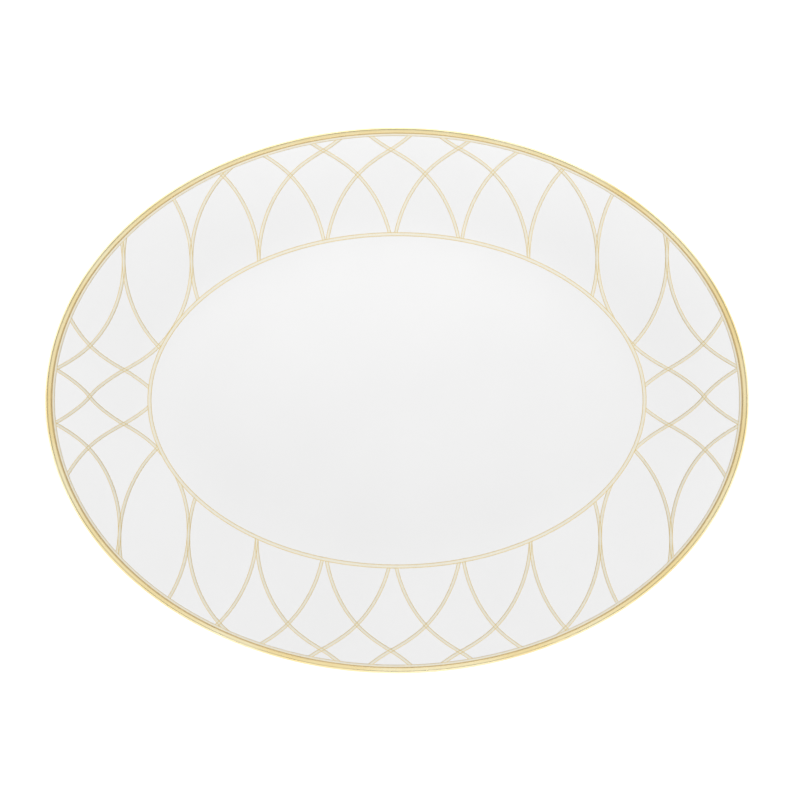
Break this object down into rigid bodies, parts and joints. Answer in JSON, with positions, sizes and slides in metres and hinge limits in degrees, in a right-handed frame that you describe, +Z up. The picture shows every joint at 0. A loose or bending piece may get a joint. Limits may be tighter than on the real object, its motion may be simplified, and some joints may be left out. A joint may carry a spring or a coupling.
{
  "type": "serving platter",
  "caption": "Oval porcelain serving platter on a foot ring, with a gilt edge and a lattice of fine gilt lines on its sloping flange.",
  "frame": {"origin": "on the table under the middle of the platter, level with the sole of the foot ring", "axes": "+X along the platter's length, +Y across it towards the back, +Z up out of the well"},
  "size_m": [0.415, 0.322, 0.033],
  "materials": {
    "porcelain": "unglazed bisque, matt",
    "glaze": "clear glaze over white porcelain, glossy",
    "bright_gold": "burnished gilding",
    "pale_gold": "pale gilding, soft sheen"
  },
  "bodies": {
    "root": {"porcelain_body": "porcelain", "glaze_coat": "glaze", "base_glaze": "glaze", "edge_gilding": "bright_gold", "transfer_front_left": "pale_gold", "transfer_front_right": "pale_gold", "transfer_back_left": "pale_gold", "transfer_back_right": "pale_gold"}
  },
  "joints": []
}
